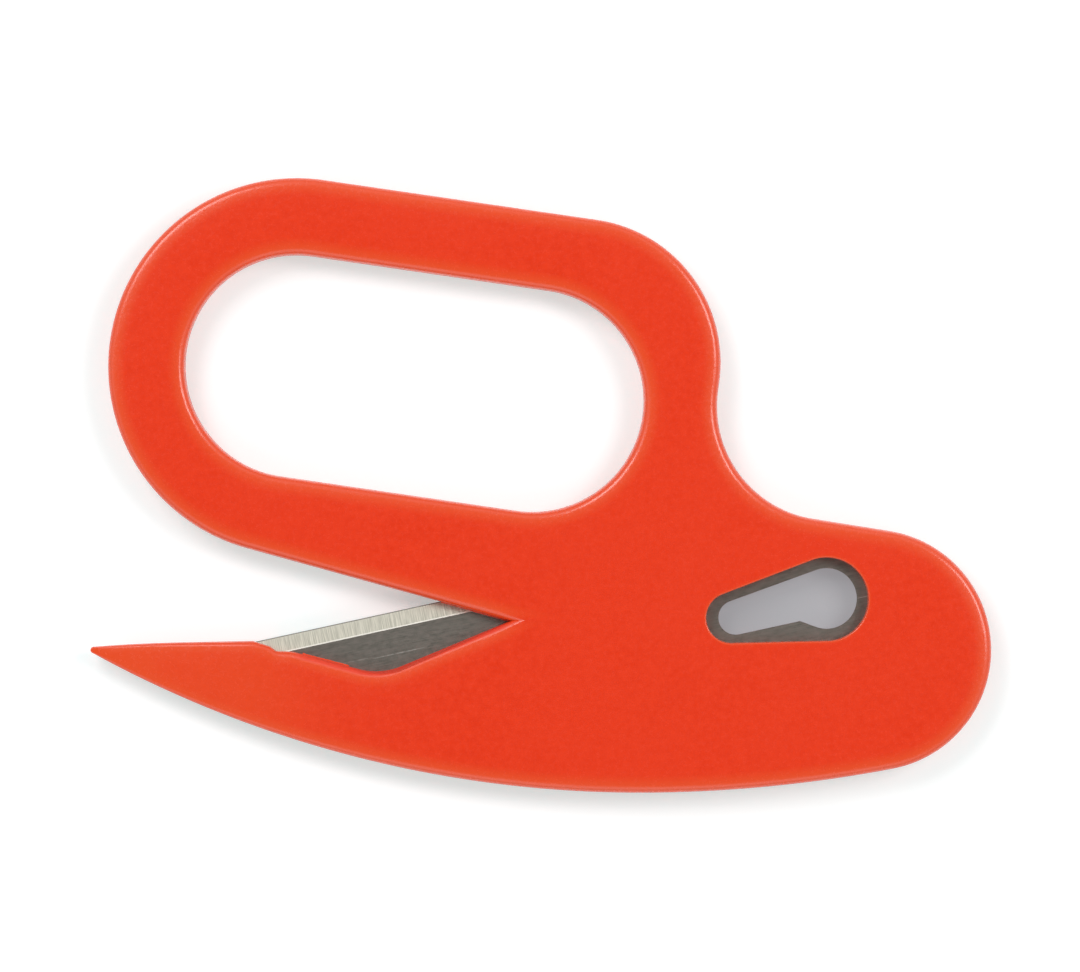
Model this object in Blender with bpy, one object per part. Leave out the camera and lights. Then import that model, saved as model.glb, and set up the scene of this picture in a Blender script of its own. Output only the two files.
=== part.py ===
"""Enclosed-blade safety cutter with a three-finger loop, lying on its side.

It has two real pieces: one steel blade, and one plastic body that is moulded around the blade, so
that the blade shows only in the throat between the loop and the snout and in the hanging window at
the rear. Nothing moves and nothing is screwed, so there are no joints and no fasteners.

Lengths are in millimetres here, and become metres when a mesh is made. +X runs from the snout to
the rear, +Y from the belly to the loop, and +Z up through the thickness. The origin is under the
centre of the outline, on the face that the cutter lies on.
"""

import math

import bmesh
import bpy
from mathutils import Matrix, Vector
from mathutils.geometry import delaunay_2d_cdt

MM = 0.001

# Body plate. A disc is (x, y, radius); an outline is a belt drawn anticlockwise round its discs.
# A negative radius is a disc that the belt passes on the other side, which makes a hollow curve.
THICKNESS = 6.0
MID = THICKNESS / 2
SNOUT_TIP = (-59.6, -21.9, 0.4)
SNOUT_TOP = (-43.6, -20.9)
LIP = (-38.2, -20.72, 0.0)
BELLY_LOW = (13.2, -40.8)
REAR = (44.1, -21.9, 15.9)
NECK = (38.8, 10.6, -15.4)
CROWN = (4.9, 16.5, 19.0)
THROAT_ROOT = (-3.9, -18.0, -0.3)
THROAT_FLOOR = (-22.0, -15.8, -8.9)

# Finger loop: a long hole with round ends, and the bar round its front end.
LOOP_FRONT = (-32.6, 15.9)
LOOP_REAR = (-1.1, 11.3)
FINGER_RADIUS = 15.0
LOOP_BAR = 9.9

# Hanging window: it leaves a ring of bare steel round the blade's keyhole.
WINDOW_FRONT = (25.5, -17.6, 3.3)
WINDOW_REAR = (38.2, -15.1, 5.5)

# Rims, from the mould's parting line half way up the wall to the broad face: a wall with draft, a
# small round and a faint crown. Each level is (distance in from the outline, depth below the face).
SOFT_RIM = ((0.0, MID), (0.55, 0.75), (0.68, 0.35), (1.0, 0.12), (2.4, 0.0))
THROAT_RIM = ((0.0, MID), (0.65, 0.55), (0.76, 0.25), (0.95, 0.08), (1.4, 0.0))
WINDOW_RIM = ((0.0, MID), (0.1, 0.3), (0.14, 0.15), (0.24, 0.05), (0.4, 0.0))
RIM_SHARE_OF_WIDTH = 0.8

# The snout thins from a line across the body, below the throat, to its tip.
THINNING_START = -14.0
THINNING_TOP = -18.5
TIP_THICKNESS = 2.2

# Blade: a strip with its cutting edge along +X of its own frame, the rest of it below the edge.
EDGE_START = (-37.1, -20.6)
EDGE_ANGLE = math.radians(12.3)
BLADE_THICKNESS = 0.6
BLADE_WIDTH = 17.6
EDGE_FRONT = -1.2
EDGE_END = 70.3
BLADE_FRONT = -1.8
BLADE_REAR = 84.2
FRONT_SLANT = 3.0
REAR_CLIP = 8.0
FRONT_CLIP = 9.0
CLIP_SLOPE = math.tan(math.radians(30))
CORNER_RADIUS = 0.3
BEVEL_WIDTH = 2.2
EDGE_THICKNESS = 0.06
KEYHOLE_SMALL = (62.4, -10.5, 2.3)
KEYHOLE_NECK = (70.7, -12.8, 0.0)
KEYHOLE_LARGE = (74.8, -10.6, 4.05)
POCKET_CLEARANCE = 0.05

# How finely curves are divided.
CHORD_ERROR = 0.03
LONGEST_STEP = 5.0
SHORTEST_STEP = 0.02


def clear_scene():
    for thing in list(bpy.data.objects):
        bpy.data.objects.remove(thing, do_unlink=True)


def disc_holding(extreme, held, side):
    """The large disc whose lowest (side 1) or highest (side -1) point is given, round another."""
    x, y = extreme
    held_x, held_y, held_radius = held
    gap_squared = (x - held_x) ** 2 + (y - held_y) ** 2 - held_radius**2
    radius = gap_squared / (2 * side * (held_y - y) - 2 * held_radius)
    return (x, y + side * radius, radius)


def body_discs():
    """The body's outline, from the loop's front round by the throat, snout, belly and neck."""
    return [
        ((*LOOP_FRONT, FINGER_RADIUS + LOOP_BAR), SOFT_RIM),
        (THROAT_ROOT, THROAT_RIM),
        (THROAT_FLOOR, THROAT_RIM),
        (LIP, THROAT_RIM),
        (disc_holding(SNOUT_TOP, SNOUT_TIP, -1), SOFT_RIM),
        (SNOUT_TIP, SOFT_RIM),
        (disc_holding(BELLY_LOW, SNOUT_TIP, 1), SOFT_RIM),
        (disc_holding(BELLY_LOW, REAR, 1), SOFT_RIM),
        (REAR, SOFT_RIM),
        (NECK, SOFT_RIM),
        (CROWN, SOFT_RIM),
    ]


def turn_round(radius, before, after):
    """How far the belt turns on a disc: anticlockwise, or clockwise in a hollow curve."""
    turn = (after - before) % math.tau
    if radius < 0:
        turn -= math.tau
    return 0.0 if abs(turn) > 0.99 * math.tau else turn


def mixed_rim(first, second, share):
    return tuple(
        tuple(low + (high - low) * share for low, high in zip(*levels))
        for levels in zip(first, second)
    )


def belt(discs):
    """[(x, y, rim), ...] along the belt round discs, which are given as (disc, rim) pairs."""
    headings = []
    for ((ax, ay, ar), _), ((bx, by, br), _) in zip(discs, discs[1:] + discs[:1]):
        lean = (br - ar) / math.hypot(bx - ax, by - ay)
        headings.append(math.atan2(by - ay, bx - ax) - math.asin(max(-1.0, min(1.0, lean))))
    arcs = []
    for index, ((x, y, radius), rim) in enumerate(discs):
        start = headings[index - 1]
        turn = turn_round(radius, start, headings[index])
        ways = [start]
        if radius:
            step = math.sqrt(8 * CHORD_ERROR / max(abs(radius), CHORD_ERROR))
            steps = math.ceil(abs(turn) / min(step, LONGEST_STEP / abs(radius))) or 1
            ways = [start + turn * i / steps for i in range(steps + 1)]
        arcs.append([(x + radius * math.sin(a), y - radius * math.cos(a), rim) for a in ways])
    points = []
    for arc, following in zip(arcs, arcs[1:] + arcs[:1]):
        points += arc
        start, end = Vector(arc[-1][:2]), Vector(following[0][:2])
        steps = math.ceil((end - start).length / LONGEST_STEP)
        for i in range(1, steps):
            rim = mixed_rim(arc[-1][2], following[0][2], i / steps)
            points.append((*start.lerp(end, i / steps), rim))
    pairs = zip(points, points[1:] + points[:1])
    return [here for here, after in pairs if math.dist(here[:2], after[:2]) > SHORTEST_STEP]


def inward_ways(points):
    """For each point of an anticlockwise loop, the step in for an offset of one, and its limit.

    The limit is the radius of the largest disc inside the loop that touches it at that point.
    """
    spots = [Vector(point[:2]) for point in points]
    ways = []
    for before, here, after in zip(spots[-1:] + spots[:-1], spots, spots[1:] + spots[:1]):
        first, second = (here - before).normalized(), (after - here).normalized()
        first, second = Vector((-first.y, first.x)), Vector((-second.y, second.x))
        way = (first + second) / (1 + first.dot(second))
        reaches = [(other - here, way.normalized().dot(other - here)) for other in spots]
        limit = min(gap.length_squared / (2 * reach) for gap, reach in reaches if reach > 1e-6)
        ways.append((way, limit))
    return ways


def rim_rings(mesh, points, half_thickness, is_hole):
    """The rings of vertices of one loop, from the lower face over the parting line to the upper."""
    ways = inward_ways(points)
    levels = len(points[0][2])
    rings = []
    for level in list(range(levels - 1, 0, -1)) + list(range(levels)):
        side = -1 if len(rings) < levels - 1 else 1
        ring = []
        for (x, y, rim), (way, limit) in zip(points, ways):
            inset, depth = rim[level]
            if is_hole:
                inset = -inset
            elif rim[-1][0]:
                inset *= min(1.0, RIM_SHARE_OF_WIDTH * limit / rim[-1][0])
            spot = Vector((x, y)) + way * inset
            ring.append(mesh.verts.new((*spot, side * (half_thickness - depth))))
        rings.append(ring)
    return rings


def plate(outline, holes, half_thickness):
    """A bmesh plate about z = 0, with the rim that each point of its outline and holes gives."""
    mesh = bmesh.new()
    lows, highs, regions = [], [], []
    for points in [outline, *holes]:
        is_hole = points is not outline
        rings = rim_rings(mesh, points, half_thickness, is_hole)
        for lower, upper in zip(rings, rings[1:]):
            for i in range(len(points)):
                quad = (lower[i - 1], lower[i], upper[i], upper[i - 1])
                mesh.faces.new(quad[::-1] if is_hole else quad)
        regions.append(list(range(len(highs), len(highs) + len(points))))
        lows += rings[0]
        highs += rings[-1]
    flat = [vert.co.xy for vert in highs]
    _, _, triangles, sources, _, owners = delaunay_2d_cdt(flat, [], regions, 1, 1e-6)
    for triangle, within in zip(triangles, owners):
        if within == [0]:
            corners = [sources[i][0] for i in triangle]
            mesh.faces.new([highs[i] for i in corners])
            mesh.faces.new([lows[i] for i in reversed(corners)])
    return mesh


def thin_beyond(mesh, line, towards, reach, share, top=math.inf):
    """Cuts the mesh along a line and thins what is past it, evenly, to a share of it at reach."""
    start, normal = Vector((*line, 0)), Vector((*towards, 0))
    everything = list(mesh.verts) + list(mesh.edges) + list(mesh.faces)
    bmesh.ops.bisect_plane(mesh, geom=everything, plane_co=start, plane_no=normal)
    for vert in mesh.verts:
        past = (vert.co - start).dot(normal)
        if past > 0 and vert.co.y < top:
            vert.co.z *= 1 - (1 - share) * min(1.0, past / reach)


def add_object(name, mesh, material, place):
    """A named object from a bmesh in millimetres, smooth on its curves and sharp at its corners."""
    bmesh.ops.scale(mesh, vec=(MM, MM, MM), verts=mesh.verts)
    data = bpy.data.meshes.new(name)
    mesh.to_mesh(data)
    mesh.free()
    data.shade_smooth()
    data.set_sharp_from_angle(angle=math.radians(35))
    data.materials.append(material)
    thing = bpy.data.objects.new(name, data)
    thing.matrix_world = place
    bpy.context.scene.collection.objects.link(thing)
    return thing


def make_material(name, colour, roughness, metallic):
    material = bpy.data.materials.new(name)
    material.use_nodes = True
    shader = material.node_tree.nodes["Principled BSDF"]
    shader.inputs["Base Color"].default_value = (*colour, 1)
    shader.inputs["Roughness"].default_value = roughness
    shader.inputs["Metallic"].default_value = metallic
    return material


def blade_mesh(clearance, keyhole):
    """The blade strip with its ground edge, or with a clearance the room that it takes up."""
    square = ((0.0, clearance + BLADE_THICKNESS / 2), (0.0, 0.0))
    corners = [
        (BLADE_FRONT, FRONT_CLIP - BLADE_WIDTH),
        (BLADE_FRONT + FRONT_CLIP / CLIP_SLOPE, -BLADE_WIDTH),
        (BLADE_REAR, -BLADE_WIDTH),
        (BLADE_REAR, -REAR_CLIP),
        (EDGE_END, 0.0),
        (EDGE_FRONT, 0.0),
        (BLADE_FRONT, -FRONT_SLANT),
    ]
    discs = []
    for x, y in corners:
        x += math.copysign(CORNER_RADIUS, BLADE_REAR / 2 - x)
        y += math.copysign(CORNER_RADIUS, -BLADE_WIDTH / 2 - y)
        discs.append(((x, y, CORNER_RADIUS + clearance), square))
    rings = [(disc, square) for disc in (KEYHOLE_SMALL, KEYHOLE_NECK, KEYHOLE_LARGE)]
    holes = [belt(rings)] if keyhole else []
    mesh = plate(belt(discs), holes, BLADE_THICKNESS / 2 + clearance)
    share = (EDGE_THICKNESS + 2 * clearance) / (BLADE_THICKNESS + 2 * clearance)
    thin_beyond(mesh, (0, -BEVEL_WIDTH), (0, 1), BEVEL_WIDTH, share)
    return mesh


def blade_place():
    """The blade lies in the middle of the body's thickness, tilted up towards the rear."""
    spot = Matrix.Translation(Vector((*EDGE_START, MID)) * MM)
    return spot @ Matrix.Rotation(EDGE_ANGLE, 4, "Z")


def add_blade():
    steel = make_material("carbon_steel", (0.17, 0.155, 0.135), 0.42, 1.0)
    return add_object("blade", blade_mesh(0.0, True), steel, blade_place())


def body_mesh():
    """The plate with its finger hole and window, its snout thinned towards the tip."""
    finger_hole = [((*spot, FINGER_RADIUS), SOFT_RIM) for spot in (LOOP_FRONT, LOOP_REAR)]
    window = [(disc, WINDOW_RIM) for disc in (WINDOW_FRONT, WINDOW_REAR)]
    mesh = plate(belt(body_discs()), [belt(finger_hole), belt(window)], MID)
    reach = THINNING_START - SNOUT_TIP[0]
    share = TIP_THICKNESS / THICKNESS
    thin_beyond(mesh, (THINNING_START, 0), (-1, 0), reach, share, THINNING_TOP)
    return mesh


def add_body():
    """The moulded body, with the pocket that the blade fills."""
    plastic = make_material("orange_plastic", (0.83, 0.05, 0.018), 0.38, 0.0)
    place = Matrix.Translation((0, 0, MID * MM))
    body = add_object("body", body_mesh(), plastic, place)
    pocket = add_object("blade_pocket", blade_mesh(POCKET_CLEARANCE, False), plastic, blade_place())
    pocket.hide_render = True
    pocket.display_type = "WIRE"
    cut = body.modifiers.new("blade_pocket", "BOOLEAN")
    cut.operation = "DIFFERENCE"
    cut.solver = "EXACT"
    cut.object = pocket
    return body


clear_scene()
add_body()
add_blade()
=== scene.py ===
"""The visible surfaces of an enclosed-blade safety cutter with a three-finger loop.

The cutter is two pieces: an orange plastic moulding, and the carbon steel blade that it is moulded
round. It lies on its side on a pale floor. Lengths are in millimetres here, and become metres when
a mesh is made. +X runs from the snout to the rear, and +Y from the belly to the loop.
"""

import math

import bmesh
import bpy
import numpy as np
from mathutils import Matrix, Vector
from mathutils.geometry import delaunay_2d_cdt


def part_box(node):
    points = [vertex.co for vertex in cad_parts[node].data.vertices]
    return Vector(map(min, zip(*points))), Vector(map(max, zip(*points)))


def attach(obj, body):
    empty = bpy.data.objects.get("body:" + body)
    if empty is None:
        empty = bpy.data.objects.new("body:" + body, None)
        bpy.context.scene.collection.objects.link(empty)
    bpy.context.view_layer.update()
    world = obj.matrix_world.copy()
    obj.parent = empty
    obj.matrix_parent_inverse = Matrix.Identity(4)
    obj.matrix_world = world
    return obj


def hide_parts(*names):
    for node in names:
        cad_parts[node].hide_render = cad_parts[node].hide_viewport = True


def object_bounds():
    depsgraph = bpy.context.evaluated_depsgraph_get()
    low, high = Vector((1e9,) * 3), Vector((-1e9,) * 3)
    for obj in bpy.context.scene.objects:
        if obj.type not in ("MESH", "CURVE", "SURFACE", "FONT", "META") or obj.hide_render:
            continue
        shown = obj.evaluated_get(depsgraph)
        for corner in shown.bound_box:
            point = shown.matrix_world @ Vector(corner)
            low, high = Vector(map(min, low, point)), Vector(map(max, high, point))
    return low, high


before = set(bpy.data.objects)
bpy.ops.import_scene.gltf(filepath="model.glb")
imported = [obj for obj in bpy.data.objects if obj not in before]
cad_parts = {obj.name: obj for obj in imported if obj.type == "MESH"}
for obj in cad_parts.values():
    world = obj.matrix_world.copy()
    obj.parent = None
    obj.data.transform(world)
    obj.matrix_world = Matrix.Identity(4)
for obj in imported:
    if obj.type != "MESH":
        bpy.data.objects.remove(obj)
cad_low, cad_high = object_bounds()

MM = 0.001


# The moulded body. One piece of orange plastic, moulded flat round the blade in a two-part mould.
# Its walls lean in by the mould's draft from the parting line, half way up, to a small round. Its
# faces swell slightly away from their rims, and the snout thins towards its tip.

body_low, body_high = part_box("body")
PARTING_HEIGHT = (body_low.z + body_high.z) / 2 / MM
HALF_THICKNESS = (body_high.z - body_low.z) / 2 / MM

# A rim is (how far the draft leans its wall in, the radius of the round above the wall).
OUTER_RIM = (0.06, 0.8)
SHUT_OFF_RIM = (0.06, 0.8)
RECESS_RIM = (0.64, 0.06)
WINDOW_RIM = (0.08, 0.15)

# A disc is (x, y, radius), and an outline is a belt drawn anticlockwise round its discs. The belt
# passes a disc of negative radius on its other side, which makes a hollow curve.
SNOUT_TIP = (-59.6, -21.9, 0.4)
SNOUT_TOP = (-43.6, -20.87)
LIP = (-38.2, -20.72, 0.0)
BELLY_LOW = (13.2, -40.93)
REAR = (44.12, -21.92, 16.08)
NECK = (38.8, 10.6, -15.2)
CROWN = (4.9, 16.5, 19.18)
THROAT_ROOT = (-4.0, -18.0, 0.0)
THROAT_FLOOR = (-22.0, -15.8, -8.9)
# The mould closed on the blade with a small step here, at the front end of the bevel.
STEP_FOOT = (-33.0, -22.1, 0.0)
STEP_FLOOR = (-35.2, -22.0, 0.0)
STEP_TOP = (-36.0, -21.4, 0.0)
LOOP_FRONT = (-32.5, 15.94)
LOOP_REAR = (-1.0, 11.34)
FINGER_RADIUS = 14.85
LOOP_BAR = 10.27
WINDOW_FRONT = (25.5, -17.6, 3.3)
WINDOW_REAR = (38.2, -15.1, 5.5)

SWELL_HEIGHT = 0.3
SWELL_REACH = 4.0
THINNING_START = -14.0
THINNING_TOP = -18.5
TIP_THICKNESS_SHARE = 0.37

CHORD_ERROR = 0.004
LONGEST_STEP = 1.5
WIDEST_TURN = math.radians(12)
ROUND_STEPS = 8
FACE_RINGS = (0.2, 0.5, 0.9, 1.5)
RIM_SHARE_OF_ROOM = 0.8
FACE_SPACING = 1.5


def disc_holding(extreme, held, side):
    """The large disc whose lowest (side 1) or highest (side -1) point is given, round another."""
    x, y = extreme
    held_x, held_y, held_radius = held
    gap_squared = (x - held_x) ** 2 + (y - held_y) ** 2 - held_radius**2
    radius = gap_squared / (2 * side * (held_y - y) - 2 * held_radius)
    return (x, y + side * radius, radius)


def belt(discs):
    """Points (x, y, *rim) of the belt round discs, given as (disc, rim before, rim after)."""
    headings = []
    for ((ax, ay, ar), _, _), ((bx, by, br), _, _) in zip(discs, discs[1:] + discs[:1]):
        lean = (br - ar) / math.hypot(bx - ax, by - ay)
        headings.append(math.atan2(by - ay, bx - ax) - math.asin(max(-1.0, min(1.0, lean))))
    arcs = []
    for index, ((x, y, radius), rim_before, rim_after) in enumerate(discs):
        start = headings[index - 1]
        turn = (headings[index] - start) % math.tau
        if radius < 0:
            turn -= math.tau
        if radius == 0 or abs(turn) > 0.99 * math.tau:
            turn = 0.0
        size = max(abs(radius), CHORD_ERROR)
        step = min(math.sqrt(8 * CHORD_ERROR / size), LONGEST_STEP / size, WIDEST_TURN)
        shares = np.linspace(0, 1, math.ceil(abs(turn) / step) + 1)[:, None]
        ways = start + turn * shares
        spots = np.hstack([x + radius * np.sin(ways), y - radius * np.cos(ways)])
        rims = np.array(rim_before) + shares * (np.array(rim_after) - np.array(rim_before))
        arcs.append(np.hstack([spots, rims]))
    points = []
    for arc, following in zip(arcs, arcs[1:] + arcs[:1]):
        run = following[0] - arc[-1]
        steps = math.ceil(math.hypot(*run[:2]) / LONGEST_STEP)
        points += [*arc, *(arc[-1] + run * i / steps for i in range(1, steps))]
    points = np.array(points)
    gaps = np.linalg.norm(np.roll(points, -1, 0)[:, :2] - points[:, :2], axis=1)
    return points[gaps > CHORD_ERROR]


def moves_in(loop):
    """For each point of an anticlockwise loop, the move that offsets the loop inwards by one."""
    runs = np.roll(loop, -1, 0) - loop
    runs /= np.linalg.norm(runs, axis=1)[:, None]
    after = np.stack([-runs[:, 1], runs[:, 0]], 1)
    before = np.roll(after, 1, 0)
    return (before + after) / (1 + (before * after).sum(1))[:, None]


def room_inside(loop, moves):
    """For each point of a loop, the radius of the largest disc inside it that touches it there."""
    gaps = loop[None] - loop[:, None]
    reaches = (gaps * moves[:, None]).sum(2) / np.linalg.norm(moves, axis=1)[:, None]
    return ((gaps**2).sum(2) / (2 * np.maximum(reaches, 1e-9)) + 1e9 * np.eye(len(loop))).min(1)


def gap_to(loops, spots):
    """The distance from each spot to the nearest of some closed loops."""
    nearest = np.full(len(spots), np.inf)
    for loop in loops:
        for start, run in zip(loop, np.roll(loop, -1, 0) - loop):
            share = np.clip((spots - start) @ run / (run @ run), 0, 1)
            gap = spots - start - share[:, None] * run
            nearest = np.minimum(nearest, np.hypot(gap[:, 0], gap[:, 1]))
    return nearest


def is_between(loops, spots):
    """Whether each spot is inside the first loop and outside the others."""
    x, y = spots.T
    crossings = np.zeros(len(spots), int)
    for loop in loops:
        for (ax, ay), (bx, by) in zip(loop, np.roll(loop, -1, 0)):
            if ay != by:
                crossings += ((ay > y) != (by > y)) & (x < ax + (bx - ax) * (y - ay) / (by - ay))
    return crossings % 2 == 1


def lattice_in(loops, spacing):
    """Points of a triangular lattice between loops, clear of them by most of a spacing."""
    low, high = loops[0].min(0), loops[0].max(0)
    rows = np.arange(low[1], high[1], spacing * math.sqrt(3) / 2)
    spots = [(x + spacing / 2 * (i % 2), y) for i, y in enumerate(rows)
             for x in np.arange(low[0], high[0], spacing)]
    spots = np.array(spots)
    spots = spots[is_between(loops, spots)]
    return spots[gap_to(loops, spots) > 0.6 * spacing]


def plate(loops, levels_of, spacing):
    """(points, faces) of a closed plate. The first loop is its outline and the others are holes.

    levels_of gives each point of a loop its levels from the middle of the plate's thickness to its
    face, as (step in, height) rows, and the plate's two sides are alike.
    """
    points, faces, borders, regions, uppers, lowers = [], [], [], [], [], []
    total = 0
    for loop in loops:
        flat = loop[:, :2]
        moves = moves_in(flat)
        levels = levels_of(loop)
        if loop is loops[0]:
            reach = np.maximum(levels[:, -1, 0], 1e-9)
            share = RIM_SHARE_OF_ROOM * room_inside(flat, moves) / reach
            levels[:, :, 0] *= np.minimum(1, share)[:, None]
        else:
            moves = -moves
        top = levels.shape[1] - 1
        down = [(1, level) for level in range(top, -1, -1)]
        down += [(-1, level) for level in range(1, top + 1)]
        for side, level in down:
            steps_in, heights = levels[:, level, :1], levels[:, level, 1:]
            points.append(np.hstack([flat + moves * steps_in, side * heights]))
        grid = total + np.arange((2 * top + 1) * len(loop)).reshape(2 * top + 1, len(loop))
        before = np.roll(grid, 1, 1)
        quads = np.stack([before[:-1], grid[:-1], grid[1:], before[1:]], 2).reshape(-1, 4)
        faces += (quads[:, ::-1] if loop is loops[0] else quads).tolist()
        regions.append(list(range(len(uppers), len(uppers) + len(loop))))
        uppers += grid[0].tolist()
        lowers += grid[-1].tolist()
        borders.append(points[-1][:, :2])
        total += grid.size
    flat = np.vstack(borders)
    if spacing:
        inner = lattice_in(borders, spacing)
        height = np.full((len(inner), 1), points[0][0, 2])
        points += [np.hstack([inner, height]), np.hstack([inner, -height])]
        uppers += range(total, total + len(inner))
        lowers += range(total + len(inner), total + 2 * len(inner))
        flat = np.vstack([flat, inner])
    spots = [Vector(spot) for spot in flat]
    _, _, triangles, sources, _, owners = delaunay_2d_cdt(spots, [], regions, 1, 1e-6)
    for triangle, regions_round in zip(triangles, owners):
        if regions_round == [0]:
            corners = [sources[corner][0] for corner in triangle]
            faces.append([uppers[corner] for corner in corners])
            faces.append([lowers[corner] for corner in reversed(corners)])
    return np.vstack(points), faces


def object_from(name, points, faces, material):
    """A mesh object from points in millimetres, with its place in its mesh."""
    data = bpy.data.meshes.new(name)
    data.from_pydata((points * MM).tolist(), [], faces)
    data.materials.append(material)
    thing = bpy.data.objects.new(name, data)
    bpy.context.scene.collection.objects.link(thing)
    return thing


def settle(thing, sharp_angle):
    """Turns what an object's modifiers make of it into its own mesh, smooth but for its corners."""
    bpy.context.view_layer.update()
    graph = bpy.context.evaluated_depsgraph_get()
    made = bpy.data.meshes.new_from_object(thing.evaluated_get(graph), depsgraph=graph)
    thing.modifiers.clear()
    thing.data = made
    made.name = thing.name
    made.shade_smooth()
    made.set_sharp_from_angle(angle=sharp_angle)


def thinning(spots):
    """What share of the full thickness the snout keeps at each spot."""
    past = np.clip((THINNING_START - spots[:, 0]) / (THINNING_START - SNOUT_TIP[0]), 0, 1)
    eased = past * past * (2 - past)
    return np.where(spots[:, 1] < THINNING_TOP, 1 - (1 - TIP_THICKNESS_SHARE) * eased, 1.0)


def body_levels(loop):
    """Up a leaning wall, over a round and in across the face, for each point of a loop."""
    levels = []
    for lean, radius in loop[:, 2:]:
        steepness = math.atan2(HALF_THICKNESS - radius, lean)
        angles = np.linspace(steepness, 0, ROUND_STEPS + 1)
        insets = lean + radius * (math.sin(steepness) - np.sin(angles))
        heights = HALF_THICKNESS - radius * (1 - np.cos(angles))
        wall = [(0.0, 0.0), (lean / 2, heights[0] / 2)]
        face = [(insets[-1] + further, HALF_THICKNESS) for further in FACE_RINGS]
        levels.append([*wall, *zip(insets, heights), *face])
    levels = np.array(levels)
    levels[:, :, 0] *= thinning(loop[:, :2])[:, None]
    return levels


def add_node(tree, kind, values=(), **settings):
    """A node with its settings, and with a value or an incoming link for each named input."""
    node = tree.nodes.new(kind)
    for name, value in settings.items():
        setattr(node, name, value)
    for name, value in dict(values).items():
        if isinstance(value, bpy.types.NodeSocket):
            tree.links.new(value, node.inputs[name])
        else:
            node.inputs[name].default_value = value
    return node


# Most of a noise texture's values lie between these.
NOISE_SPAN = (0.3, 0.7)


def grain(tree, place, size, detail=2.0, roughness=0.5):
    """Noise from 0 to 1 with features of about the given size in millimetres."""
    values = {"Vector": place, "Scale": 1 / (size * MM), "Detail": detail, "Roughness": roughness}
    return add_node(tree, "ShaderNodeTexNoise", values).outputs["Fac"]


def spread(tree, value, low, high, to_low, to_high):
    """A value mapped from one range to another and kept inside it."""
    names = ("Value", "From Min", "From Max", "To Min", "To Max")
    values = dict(zip(names, (value, low, high, to_low, to_high)))
    return add_node(tree, "ShaderNodeMapRange", values).outputs["Result"]


def computed(tree, operation, *values):
    """The result of a Math node on the given values or links."""
    node = add_node(tree, "ShaderNodeMath", dict(enumerate(values)), operation=operation)
    return node.outputs[0]


def mixed_colour(tree, share, first, second):
    """Two linear colours, or links, mixed by a share."""
    node = add_node(tree, "ShaderNodeMix", {"Factor": share}, data_type="RGBA")
    for socket, colour in zip((node.inputs[6], node.inputs[7]), (first, second)):
        if isinstance(colour, bpy.types.NodeSocket):
            tree.links.new(colour, socket)
        else:
            socket.default_value = (*colour, 1)
    return node.outputs[2]


def bumps(tree, height, strength, depth, under=None):
    """Normals of a relief of the given depth in millimetres, laid over another one if given."""
    values = {"Height": height, "Strength": strength, "Distance": depth * MM}
    if under:
        values["Normal"] = under
    return add_node(tree, "ShaderNodeBump", values).outputs["Normal"]


def new_material(name, metallic=0.0):
    """A new material's nodes and its shader, with the material."""
    material = bpy.data.materials.new(name)
    material.use_nodes = True
    shader = material.node_tree.nodes["Principled BSDF"]
    shader.inputs["Metallic"].default_value = metallic
    return material, material.node_tree, shader


PLASTIC_DEEP = (0.76, 0.033, 0.004)
PLASTIC_PALE = (0.82, 0.042, 0.008)
PLASTIC_FLOW = (0.80, 0.043, 0.010)
# The colour of the painted light that makes the plastic's edges paler.
PLASTIC_PAINTED_EDGE_LIGHT = (0.80, 0.072, 0.014)
PLASTIC_SPECULAR = 0.75
SKIN_ROUGHNESS = (0.22, 0.29)
RECESS_ROUGHNESS = 0.7
# Noise is (its size, how much finer noise it holds), in millimetres and octaves.
MOTTLE = (0.9, 2.0)
FLOW = (14.0, 2.0)
SHEEN = (0.5, 3.0)
SKIN = (0.35, 2.0)
WAVES = (1.8, 2.0)
SKIN_DEPTH = 0.012
WAVE_DEPTH = 0.06


def orange_plastic():
    """Satin moulded plastic: fine mottle, the mould's skin, and painted light on its edges."""
    material, tree, shader = new_material("orange_plastic")
    shader.inputs["Specular IOR Level"].default_value = PLASTIC_SPECULAR
    place = add_node(tree, "ShaderNodeTexCoord").outputs["Object"]
    mottle = grain(tree, place, *MOTTLE)
    flow = grain(tree, place, *FLOW)
    base = mixed_colour(tree, spread(tree, mottle, *NOISE_SPAN, 0, 1), PLASTIC_DEEP, PLASTIC_PALE)
    base = mixed_colour(tree, spread(tree, flow, 0.35, 0.7, 0, 0.5), base, PLASTIC_FLOW)
    # Rims, the window's edge, the snout and the mould's beads are painted paler here: painted
    # light.
    thin = add_node(tree, "ShaderNodeAttribute", attribute_name="painted_edge_light").outputs["Fac"]
    base = mixed_colour(tree, thin, base, PLASTIC_PAINTED_EDGE_LIGHT)
    tree.links.new(base, shader.inputs["Base Color"])
    rough = spread(tree, grain(tree, place, *SHEEN), *NOISE_SPAN, *SKIN_ROUGHNESS)
    wall = add_node(tree, "ShaderNodeAttribute", attribute_name="recess_wall").outputs["Fac"]
    rough = add_node(tree, "ShaderNodeMix", {"Factor": wall, "A": rough, "B": RECESS_ROUGHNESS})
    tree.links.new(rough.outputs["Result"], shader.inputs["Roughness"])
    skin = bumps(tree, grain(tree, place, *SKIN, 0.6), 1.0, SKIN_DEPTH)
    waves = bumps(tree, grain(tree, place, *WAVES), 0.6, WAVE_DEPTH, skin)
    tree.links.new(waves, shader.inputs["Normal"])
    return material


plastic = orange_plastic()

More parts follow.
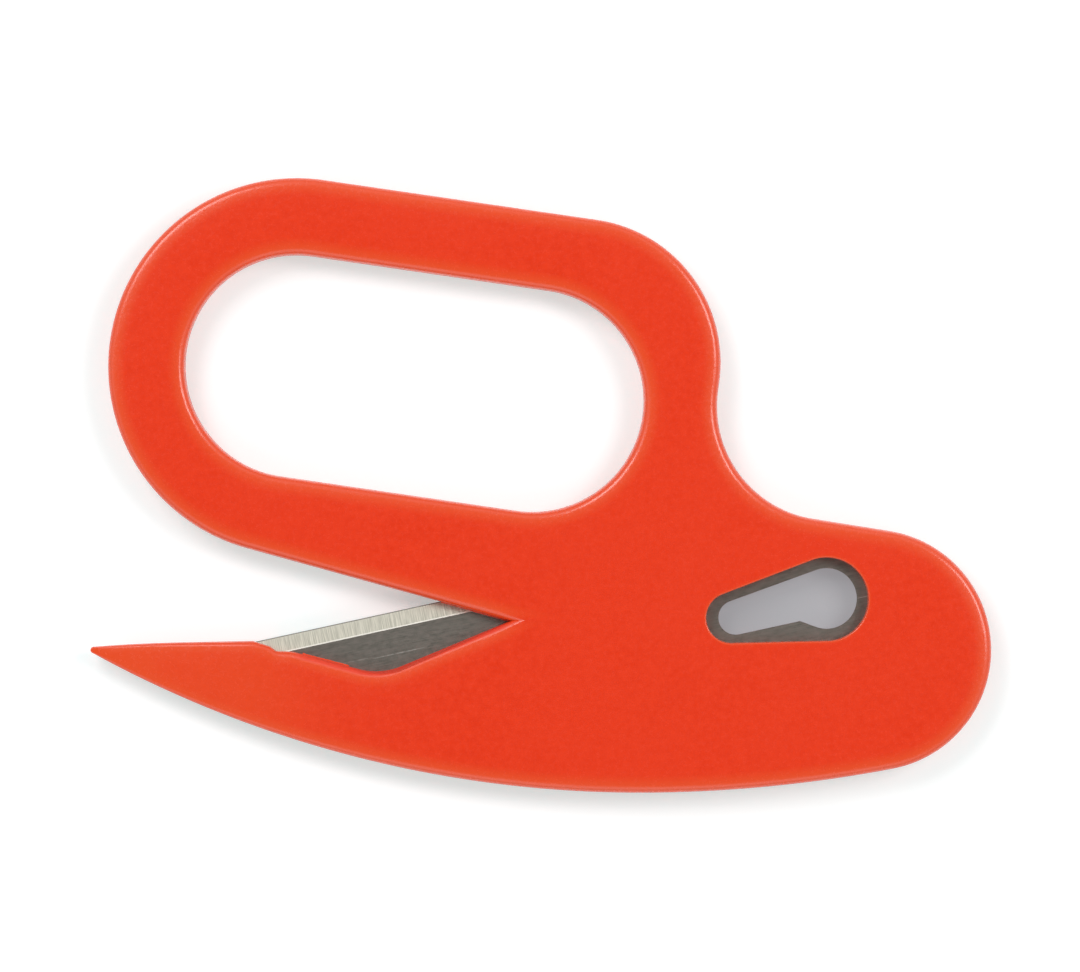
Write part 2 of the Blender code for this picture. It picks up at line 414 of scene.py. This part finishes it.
outline = belt([
    ((*LOOP_FRONT, FINGER_RADIUS + LOOP_BAR), OUTER_RIM, OUTER_RIM),
    (THROAT_ROOT, OUTER_RIM, RECESS_RIM),
    (THROAT_FLOOR, RECESS_RIM, SHUT_OFF_RIM),
    (STEP_FOOT, SHUT_OFF_RIM, SHUT_OFF_RIM),
    (STEP_FLOOR, SHUT_OFF_RIM, SHUT_OFF_RIM),
    (STEP_TOP, SHUT_OFF_RIM, SHUT_OFF_RIM),
    (LIP, SHUT_OFF_RIM, OUTER_RIM),
    (disc_holding(SNOUT_TOP, SNOUT_TIP, -1), OUTER_RIM, OUTER_RIM),
    (SNOUT_TIP, OUTER_RIM, OUTER_RIM),
    (disc_holding(BELLY_LOW, SNOUT_TIP, 1), OUTER_RIM, OUTER_RIM),
    (disc_holding(BELLY_LOW, REAR, 1), OUTER_RIM, OUTER_RIM),
    (REAR, OUTER_RIM, OUTER_RIM),
    (NECK, OUTER_RIM, OUTER_RIM),
    (CROWN, OUTER_RIM, OUTER_RIM),
])
finger_discs = [(*spot, FINGER_RADIUS) for spot in (LOOP_FRONT, LOOP_REAR)]
finger_hole = belt([(disc, OUTER_RIM, OUTER_RIM) for disc in finger_discs])
window = belt([(disc, WINDOW_RIM, WINDOW_RIM) for disc in (WINDOW_FRONT, WINDOW_REAR)])


# How far from a rim, in millimetres, the painted light makes the plastic palest and where that
# ends.
EDGE_FADE = (0.6, 2.7)
WINDOW_EDGE_FADE = (0.1, 0.5)
RECESS_FADE = (0.4, 0.9)
SNOUT_PAINTED_LIGHT = 0.6
NO_GAP = 1e-4


def eased(value, low, high):
    """0 below one value, 1 above another, and smooth between them."""
    share = np.clip((value - low) / (high - low), 0, 1)
    return share * share * (3 - 2 * share)


def write_shares(thing, name, values):
    """A vertex attribute of the mesh, for its material to read."""
    thing.data.attributes.new(name, "FLOAT", "POINT").data.foreach_set("value", values)


def mark_edges(thing):
    """Marks where the plastic is painted paler as painted light, and the wall by the blade's flat.
    """
    count = len(thing.data.vertices)
    spots = np.empty(count * 3, np.float32)
    thing.data.vertices.foreach_get("co", spots)
    spots = spots.reshape(-1, 3)[:, :2].astype(float) / MM
    rims = 1 - eased(gap_to([outline[:, :2], finger_hole[:, :2]], spots), *EDGE_FADE)
    window_rim = 1 - eased(gap_to([window[:, :2]], spots), *WINDOW_EDGE_FADE)
    there_and_back = np.vstack([recess_edge, recess_edge[::-1] + NO_GAP])
    past_recess = eased(gap_to([there_and_back], spots), *RECESS_FADE)
    rims *= past_recess
    # The thinning snout is painted paler too: painted light on its slope.
    snout = SNOUT_PAINTED_LIGHT * eased(1 - thinning(spots), 0.0, 0.3)
    painted_light = np.maximum(np.maximum(rims, window_rim), snout)
    write_shares(thing, "painted_edge_light", painted_light)
    write_shares(thing, "recess_wall", 1 - past_recess)


recess_edge = outline[(outline[:, 2:] != OUTER_RIM).any(1), :2]
points, faces = plate([outline, finger_hole, window], body_levels, FACE_SPACING)
from_rim = gap_to([outline[:, :2], finger_hole[:, :2]], points[:, :2])
swell = SWELL_HEIGHT * (1 - np.minimum(1, from_rim / SWELL_REACH)) ** 3
points[:, 2] *= (1 - swell / HALF_THICKNESS) * thinning(points)
points[:, 2] += PARTING_HEIGHT
body = object_from("moulded_body", points, faces, plastic)


# The blade. A strip of carbon steel, blanked with a keyhole and ground on both sides to a cutting
# edge. It lies in the middle of the body's thickness, and shows in the throat and in the window.
# Its own frame has the cutting edge along +X and the rest of the strip below the edge.

EDGE_START = (-37.1, -20.6)
EDGE_ANGLE = math.radians(12.3)
blade_low, blade_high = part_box("blade")
BLADE_HALF = (blade_high.z - blade_low.z) / 2 / MM
BLADE_HEIGHT = (blade_high.z + blade_low.z) / 2 / MM
BLADE_WIDTH = 17.6
EDGE_FRONT = -1.2
EDGE_END = 70.3
BLADE_FRONT = -1.8
BLADE_REAR = 84.2
FRONT_SLANT = 3.0
REAR_CLIP = 8.0
FRONT_CLIP = 9.0
CLIP_SLOPE = math.tan(math.radians(30))
CORNER_RADIUS = 0.3
BEVEL_WIDTH = 2.2
EDGE_HALF = 0.03
KEYHOLE_SMALL = (62.4, -10.5, 2.3)
KEYHOLE_NECK = (70.7, -12.8, 0.0)
KEYHOLE_LARGE = (74.8, -10.6, 4.05)
BURR = 0.03
POCKET_CLEARANCE = 0.02
POCKET_HALF = BLADE_HALF + POCKET_CLEARANCE
POCKET_EDGE_BREAK = 0.01

blade_place = Matrix.Translation((*EDGE_START, BLADE_HEIGHT)) @ Matrix.Rotation(EDGE_ANGLE, 4, "Z")


def blade_outline(clearance):
    """The strip's outline in its own frame, with its corners slightly rounded."""
    corners = [
        (BLADE_FRONT, FRONT_CLIP - BLADE_WIDTH),
        (BLADE_FRONT + FRONT_CLIP / CLIP_SLOPE, -BLADE_WIDTH),
        (BLADE_REAR, -BLADE_WIDTH),
        (BLADE_REAR, -REAR_CLIP),
        (EDGE_END, 0.0),
        (EDGE_FRONT, 0.0),
        (BLADE_FRONT, -FRONT_SLANT),
    ]
    discs = []
    for x, y in corners:
        x += math.copysign(CORNER_RADIUS, BLADE_REAR / 2 - x)
        y += math.copysign(CORNER_RADIUS, -BLADE_WIDTH / 2 - y)
        discs.append(((x, y, CORNER_RADIUS + clearance), (), ()))
    return belt(discs)


def strip_levels(half, edge_break):
    """Square sides with a slightly broken edge, for every point of a loop."""
    rows = [(0.0, 0.0), (0.0, half - edge_break), (edge_break, half)]
    return lambda loop: np.tile(np.array(rows), (len(loop), 1, 1))


def ground(points, half, edge_half):
    """Thins the strip evenly from the bevel's heel to the cutting edge."""
    past = np.clip(1 + points[:, 1] / BEVEL_WIDTH, 0, 1)
    points[:, 2] *= 1 - (1 - edge_half / half) * past


def placed(points, matrix):
    """Points turned and moved from the blade's own frame to the object's."""
    return points @ np.array(matrix.to_3x3()).T + np.array(matrix.translation)


# The body is finished here, because the pocket in it has the blade's outline.
pocket_points, pocket_faces = plate(
    [blade_outline(POCKET_CLEARANCE)], strip_levels(POCKET_HALF, POCKET_EDGE_BREAK), None
)
ground(pocket_points, POCKET_HALF, EDGE_HALF + POCKET_CLEARANCE)
pocket = object_from("blade_pocket", placed(pocket_points, blade_place), pocket_faces, plastic)
cut = body.modifiers.new("cut", "BOOLEAN")
cut.operation = "DIFFERENCE"
cut.solver = "EXACT"
cut.object = pocket
settle(body, sharp_angle=math.radians(20))
bpy.data.objects.remove(pocket)
mark_edges(body)
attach(body, "root")
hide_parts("body")


STRIP_DARK = (0.20, 0.19, 0.165)
STRIP_LIGHT = (0.30, 0.285, 0.245)
STRIP_WARM = (0.29, 0.26, 0.23)
STRIP_ROUGHNESS = (0.38, 0.45)
# A scratch is (its start and end along the blade, its place across it, its strength).
SCRATCHES = [
    ((13.9, 21.4), -5.55, 0.55),
    ((9.6, 13.4), -5.35, 0.3),
    ((78.8, 80.2), -11.45, 0.7),
]
SCRATCH_LIGHT = (0.72, 0.70, 0.64)
SCRATCH_HALF_WIDTH = (0.03, 0.09)
BEVEL_DARK = (0.42, 0.41, 0.34)
BEVEL_LIGHT = (0.74, 0.72, 0.62)
BEVEL_ROUGHNESS = (0.45, 0.53)
# A thin line along the cutting edge is painted darker: painted shade.
EDGE_SHADE_WIDTH = 0.16
EDGE_PAINTED_SHADE = (0.22, 0.22, 0.20)
# The bevel is bright along its heel, and that fades out between these distances from it.
HEEL_FADE = (0.22, 0.1)
HEEL_LIGHT = (0.85, 0.83, 0.75)
# Streaks and lines are (how long along the blade, how long across it), in millimetres.
ROLLING_STREAKS = (4.0, 0.15)
BLOTCHES = (0.9, 0.4)
GRINDING_LINES = (0.12, 3.0)
STEEL_RELIEF = 0.01


def blade_frame(tree):
    """Object coordinates turned into the blade's own frame."""
    place = add_node(tree, "ShaderNodeTexCoord").outputs["Object"]
    spot = (*(x * MM for x in EDGE_START), BLADE_HEIGHT * MM)
    values = {"Vector": place, "Location": spot, "Rotation": (0, 0, EDGE_ANGLE)}
    return add_node(tree, "ShaderNodeMapping", values, vector_type="TEXTURE").outputs["Vector"]


def stretched(tree, place, along, across):
    """The blade's frame squeezed so that noise of one millimetre comes out along by across."""
    values = {"Vector": place, "Scale": (1 / along, 1 / across, 1)}
    return add_node(tree, "ShaderNodeMapping", values).outputs["Vector"]


def scratch(tree, place, start, end, side, strength):
    """A fine line along the blade, broken up, as a share from 0 to the given strength."""
    parts = add_node(tree, "ShaderNodeSeparateXYZ", {"Vector": place}).outputs
    middle, reach = (start + end) / 2 * MM, (end - start) / 2 * MM
    along = computed(tree, "ABSOLUTE", computed(tree, "SUBTRACT", parts["X"], middle))
    across = computed(tree, "ABSOLUTE", computed(tree, "SUBTRACT", parts["Y"], side * MM))
    within = spread(tree, along, 0.8 * reach, reach, strength, 0)
    thin = spread(tree, across, *(x * MM for x in SCRATCH_HALF_WIDTH), 1, 0)
    broken = spread(tree, grain(tree, place, 0.5), 0.35, 0.6, 0.3, 1)
    return computed(tree, "MULTIPLY", computed(tree, "MULTIPLY", within, thin), broken)


def strip_steel():
    """Hardened strip with its dark temper finish, streaked along the rolling direction."""
    material, tree, shader = new_material("strip_steel", metallic=1.0)
    place = blade_frame(tree)
    streaks = grain(tree, stretched(tree, place, *ROLLING_STREAKS), 1.0, 3.0, 0.6)
    blotches = grain(tree, stretched(tree, place, *BLOTCHES), 1.0, 4.0, 0.7)
    base = mixed_colour(tree, spread(tree, streaks, *NOISE_SPAN, 0, 1), STRIP_DARK, STRIP_LIGHT)
    base = mixed_colour(tree, spread(tree, blotches, 0.35, 0.65, 0, 0.8), base, STRIP_WARM)
    for (start, end), side, strength in SCRATCHES:
        mark = scratch(tree, place, start, end, side, strength)
        base = mixed_colour(tree, mark, base, SCRATCH_LIGHT)
    tree.links.new(base, shader.inputs["Base Color"])
    rough = spread(tree, blotches, *NOISE_SPAN, *STRIP_ROUGHNESS)
    tree.links.new(rough, shader.inputs["Roughness"])
    tree.links.new(bumps(tree, streaks, 0.3, STEEL_RELIEF), shader.inputs["Normal"])
    return material


def ground_steel():
    """Bright bevel steel with grinding lines across it, and painted shade along its cutting edge.
    """
    material, tree, shader = new_material("ground_steel", metallic=1.0)
    place = blade_frame(tree)
    lines = grain(tree, stretched(tree, place, *GRINDING_LINES), 1.0, 3.0, 0.6)
    base = mixed_colour(tree, spread(tree, lines, *NOISE_SPAN, 0, 1), BEVEL_DARK, BEVEL_LIGHT)
    side = add_node(tree, "ShaderNodeSeparateXYZ", {"Vector": place}).outputs["Y"]
    # Painted shade along the cutting edge.
    edge_shade = spread(tree, side, -EDGE_SHADE_WIDTH * MM, -0.6 * EDGE_SHADE_WIDTH * MM, 0, 1)
    base = mixed_colour(tree, edge_shade, base, EDGE_PAINTED_SHADE)
    at_heel = spread(tree, side, *((x - BEVEL_WIDTH) * MM for x in HEEL_FADE), 0, 1)
    base = mixed_colour(tree, at_heel, base, HEEL_LIGHT)
    tree.links.new(base, shader.inputs["Base Color"])
    rough = spread(tree, lines, *NOISE_SPAN, *BEVEL_ROUGHNESS)
    tree.links.new(rough, shader.inputs["Roughness"])
    tree.links.new(bumps(tree, lines, 0.4, STEEL_RELIEF), shader.inputs["Normal"])
    return material


keyhole = belt([(disc, (), ()) for disc in (KEYHOLE_SMALL, KEYHOLE_NECK, KEYHOLE_LARGE)])
points, faces = plate([blade_outline(0.0), keyhole], strip_levels(BLADE_HALF, BURR), None)
blade = object_from("ground_blade", points, faces, strip_steel())
blade.data.materials.append(ground_steel())
shape = bmesh.new()
shape.from_mesh(blade.data)
everything = [*shape.verts, *shape.edges, *shape.faces]
heel = Vector((0, -BEVEL_WIDTH, 0)) * MM
bmesh.ops.bisect_plane(shape, geom=everything, plane_co=heel, plane_no=(0, 1, 0))
for face in shape.faces:
    face.material_index = int(face.calc_center_median().y > heel.y)
shape.to_mesh(blade.data)
shape.free()
points = np.array([vert.co for vert in blade.data.vertices]) / MM
ground(points, BLADE_HALF, EDGE_HALF)
blade.data.vertices.foreach_set("co", (placed(points, blade_place) * MM).ravel())
settle(blade, sharp_angle=math.radians(5))
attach(blade, "root")
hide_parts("blade")


# The mould's marks. The mould's two halves left a hair of plastic all round the body where they
# met, and a thin uneven film where they closed on the blade. Both are the body's own plastic.

# Each is (width, thickness, raggedness, seed).
SEAM = (0.06, 0.08, 0.2, 3.0)
FILM = (0.3, 0.05, 0.5, 8.0)
FILM_END = -25.5
RAG_SIZE = 1.1
RAG_SWING = 4.0
THINNEST_SHARE = 0.2
SECTION_SIDES = 8
MARK_GAP = 0.05
THROAT_TOP = -5
THROAT_FRONT = -30
FILM_POINTS = 60
FILM_STEP = 0.05


def bead_tree():
    """Geometry nodes that run a flat, uneven bead along the edges of a mesh."""
    tree = bpy.data.node_groups.new("moulded_bead", "GeometryNodeTree")
    tree.interface.new_socket("Geometry", in_out="INPUT", socket_type="NodeSocketGeometry")
    for name in ("Width", "Thickness", "Raggedness", "Seed"):
        tree.interface.new_socket(name, in_out="INPUT", socket_type="NodeSocketFloat")
    tree.interface.new_socket("Material", in_out="INPUT", socket_type="NodeSocketMaterial")
    tree.interface.new_socket("Geometry", in_out="OUTPUT", socket_type="NodeSocketGeometry")
    given = tree.nodes.new("NodeGroupInput").outputs
    path = add_node(tree, "GeometryNodeMeshToCurve", {"Mesh": given["Geometry"]})
    values = {"Curve": path.outputs["Curve"]}
    path = add_node(tree, "GeometryNodeSetCurveNormal", values, mode="Z_UP").outputs["Curve"]
    values = {"Resolution": SECTION_SIDES, "Radius": 0.5}
    circle = add_node(tree, "GeometryNodeCurvePrimitiveCircle", values).outputs["Curve"]
    values = {"X": given["Width"], "Y": given["Thickness"], "Z": 1.0}
    size = add_node(tree, "ShaderNodeCombineXYZ", values).outputs["Vector"]
    values = {"Geometry": circle, "Scale": size}
    section = add_node(tree, "GeometryNodeTransform", values).outputs["Geometry"]
    values = {"W": given["Seed"], "Scale": 1 / (RAG_SIZE * MM), "Detail": 3.0}
    noise = add_node(tree, "ShaderNodeTexNoise", values, noise_dimensions="4D").outputs["Fac"]
    rag = computed(tree, "MULTIPLY", computed(tree, "SUBTRACT", noise, 0.5), given["Raggedness"])
    share = computed(tree, "MULTIPLY_ADD", rag, RAG_SWING, 1.0)
    share = computed(tree, "MAXIMUM", share, THINNEST_SHARE)
    values = {"Curve": path, "Profile Curve": section, "Scale": share, "Fill Caps": True}
    bead = add_node(tree, "GeometryNodeCurveToMesh", values).outputs["Mesh"]
    bead = add_node(tree, "GeometryNodeRealizeInstances", {"Geometry": bead}).outputs["Geometry"]
    values = {"Geometry": bead, "Material": given["Material"]}
    bead = add_node(tree, "GeometryNodeSetMaterial", values).outputs["Geometry"]
    result = tree.nodes.new("NodeGroupOutput")
    tree.links.new(bead, result.inputs["Geometry"])
    return tree


def add_bead(name, runs, sizes):
    """Beads along runs of points, each given with whether it closes on itself."""
    points, edges = [], []
    for run, closes in runs:
        first = len(points)
        points += run.tolist()
        edges += [(spot, spot + 1) for spot in range(first, len(points) - 1)]
        if closes:
            edges.append((len(points) - 1, first))
    data = bpy.data.meshes.new(name)
    data.from_pydata((np.array(points) * MM).tolist(), edges, [])
    thing = bpy.data.objects.new(name, data)
    bpy.context.scene.collection.objects.link(thing)
    modifier = thing.modifiers.new("bead", "NODES")
    modifier.node_group = bead_nodes
    sockets = {item.name: item.identifier for item in bead_nodes.interface.items_tree
               if item.in_out == "INPUT"}
    width, thickness, raggedness, seed = sizes
    modifier[sockets["Width"]] = width * MM
    modifier[sockets["Thickness"]] = thickness * MM
    modifier[sockets["Raggedness"]] = raggedness
    modifier[sockets["Seed"]] = seed
    modifier[sockets["Material"]] = plastic
    settle(thing, sharp_angle=math.radians(50))
    shape = bmesh.new()
    shape.from_mesh(thing.data)
    bmesh.ops.recalc_face_normals(shape, faces=shape.faces)
    shape.to_mesh(thing.data)
    shape.free()
    # The beads are painted as pale as the rims: painted light.
    write_shares(thing, "painted_edge_light", np.ones(len(thing.data.vertices)))
    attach(thing, "root")


def below_edge(spots):
    """How far each spot lies from the cutting edge's line, towards the blade's back."""
    across = np.array([math.sin(EDGE_ANGLE), -math.cos(EDGE_ANGLE)])
    return (spots - EDGE_START) @ across


def raised(spots, heights):
    """Spots in the plane, each with its height, or all with the same one."""
    column = np.broadcast_to(np.reshape(heights, (-1, 1)), (len(spots), 1))
    return np.hstack([spots, column])


bead_nodes = bead_tree()
flat = outline[:, :2]
lip = int(np.argmin(np.hypot(*(flat - LIP[:2]).T)))
# The seam stops where the loop's bar meets the cutting edge, in the throat.
in_throat = (flat[:, 1] < THROAT_TOP) & (flat[:, 0] > THROAT_FRONT)
bar_end = int(np.argmax((below_edge(flat) > 0) & in_throat))
outer_seam = raised(np.vstack([flat[lip:], flat[:bar_end]]), PARTING_HEIGHT)
finger_seam = raised(finger_hole[:, :2], PARTING_HEIGHT)
add_bead("parting_line", [(outer_seam, False), (finger_seam, True)], SEAM)

bar_line = np.linspace(flat[bar_end - 1], THROAT_ROOT[:2], FILM_POINTS)
bar_line = bar_line[below_edge(bar_line) > 0]
steps = np.arange(0, 1, FILM_STEP)[:, None]
front_line = np.vstack([a + (b - a) * steps for a, b in zip(recess_edge, recess_edge[1:])])
front_line = front_line[(below_edge(front_line) > MARK_GAP) & (front_line[:, 0] < FILM_END)]
films = []
for line in (bar_line, front_line):
    past = np.clip(1 - below_edge(line) / BEVEL_WIDTH, 0, 1)
    lift = BLADE_HALF * (1 - (1 - EDGE_HALF / BLADE_HALF) * past)
    films += [(raised(line, BLADE_HEIGHT + side * lift), False) for side in (1, -1)]
add_bead("shut_off_film", films, FILM)


# Floor, light and camera. A white table under white surroundings, with two soft lamps above it,
# a large one low on the belly's side, and a camera that looks straight down.

FLOOR_SIZE = 3.0
CAMERA_DISTANCE = 1.5
VIEW_WIDTH = 144.17 * MM
SENSOR_WIDTH = 36.0

# The table glows faintly in green and blue, to cancel the red light that the plastic throws on it.
TABLE_COLOUR = (0.90, 0.72, 0.72)
TABLE_GLOW = (0.14, 0.39, 0.39)
# At the throat the glow is less green and blue, and under the window the table has painted shade, a
# dark colour with less glow, so that the keyhole shows grey. A spot is (its middle, where it starts
# and ends to fade, its colour, its glow).
PAINTED_SHADE_AND_GLOW_SPOTS = [
    ((31.5, -16.5), (11.0, 12.8), (0.29, 0.29, 0.30), (0.205, 0.218, 0.232)),
    ((-14.0, -17.5), (4.0, 17.0), (0.93, 0.72, 0.72), (0.25, 0.37, 0.37)),
]
# Far from the cutter the table is a plain pale grey.
FAR_REACH = (105.0, 260.0)
FAR_COLOUR = (0.80, 0.80, 0.80)
FAR_GLOW = (0.14, 0.14, 0.14)
OVERHEAD_LIGHT = 0.03
SIDE_LIGHT = 1.08
HORIZON_LIGHT = 0.45
HORIZON_FADE = (0.25, 0.75)
DARK_CAP_START = 0.6

centre = (cad_low + cad_high) / 2


def white_table():
    """Dull white board that glows, with painted shade under the window, whose colour and glow
    change with the distance from the cutter.
    """
    material, tree, shader = new_material("white_table")
    shader.inputs["Roughness"].default_value = 0.6
    shader.inputs["Specular IOR Level"].default_value = 0.0
    shader.inputs["Emission Strength"].default_value = 1.0
    place = add_node(tree, "ShaderNodeTexCoord").outputs["Object"]
    far = away_from(tree, place, (0, 0), FAR_REACH)
    base = mixed_colour(tree, far, TABLE_COLOUR, FAR_COLOUR)
    shine = mixed_colour(tree, far, TABLE_GLOW, FAR_GLOW)
    # Spots of painted shade and changed glow near the cutter.
    for middle, reach, colour, glow in PAINTED_SHADE_AND_GLOW_SPOTS:
        away = away_from(tree, place, middle, reach)
        base = mixed_colour(tree, away, colour, base)
        shine = mixed_colour(tree, away, glow, shine)
    tree.links.new(base, shader.inputs["Base Color"])
    tree.links.new(shine, shader.inputs["Emission Color"])
    return material


def away_from(tree, place, middle, reach):
    """0 nearer to a middle than the first distance, and 1 further than the second."""
    values = {"Vector": place, "Location": (*(x * MM for x in middle), 0)}
    moved = add_node(tree, "ShaderNodeMapping", values, vector_type="TEXTURE").outputs["Vector"]
    gap = add_node(tree, "ShaderNodeVectorMath", {"Vector": moved}, operation="LENGTH")
    return spread(tree, gap.outputs["Value"], *(x * MM for x in reach), 0, 1)


corners = np.array([(-1, -1, 0), (1, -1, 0), (1, 1, 0), (-1, 1, 0)])
floor = object_from("floor", corners * FLOOR_SIZE / 2 / MM, [(0, 1, 2, 3)], white_table())


def add_lamp(name, azimuth, elevation, distance, size, power):
    """A square lamp that faces the cutter, placed by its direction seen from above."""
    lamp = bpy.data.lights.new(name, "AREA")
    lamp.size = size
    lamp.energy = power
    thing = bpy.data.objects.new(name, lamp)
    turn, lift = math.radians(azimuth), math.radians(elevation)
    level = math.cos(lift)
    away = Vector((math.cos(turn) * level, math.sin(turn) * level, math.sin(lift)))
    thing.location = centre + away * distance
    thing.rotation_euler = away.to_track_quat("Z", "Y").to_euler()
    bpy.context.scene.collection.objects.link(thing)


add_lamp("lamp_upper_left", azimuth=132, elevation=53, distance=1.0, size=0.42, power=3.3)
add_lamp("lamp_upper_right", azimuth=20, elevation=53, distance=1.0, size=0.36, power=2.8)
add_lamp("lamp_below", azimuth=262, elevation=38, distance=1.2, size=1.1, power=1.7)

world = bpy.data.worlds.new("white_room")
world.use_nodes = True
sky = world.node_tree
direction = add_node(sky, "ShaderNodeTexCoord").outputs["Generated"]
height = add_node(sky, "ShaderNodeSeparateXYZ", {"Vector": direction}).outputs["Z"]
brightness = spread(sky, height, DARK_CAP_START, 1.0, SIDE_LIGHT, OVERHEAD_LIGHT)
dimming = spread(sky, height, *HORIZON_FADE, HORIZON_LIGHT, 1.0)
brightness = computed(sky, "MULTIPLY", brightness, dimming)
background = sky.nodes["Background"]
sky.links.new(brightness, background.inputs["Strength"])
background.inputs["Color"].default_value = (1, 1, 1, 1)
bpy.context.scene.world = world

camera = bpy.data.objects.new("camera", bpy.data.cameras.new("camera"))
camera.data.sensor_width = SENSOR_WIDTH
camera.data.lens = SENSOR_WIDTH * CAMERA_DISTANCE / VIEW_WIDTH
camera.location = (centre.x, centre.y, centre.z + CAMERA_DISTANCE)
bpy.context.scene.collection.objects.link(camera)
bpy.context.scene.camera = camera
bpy.context.scene.view_settings.view_transform = "Standard"
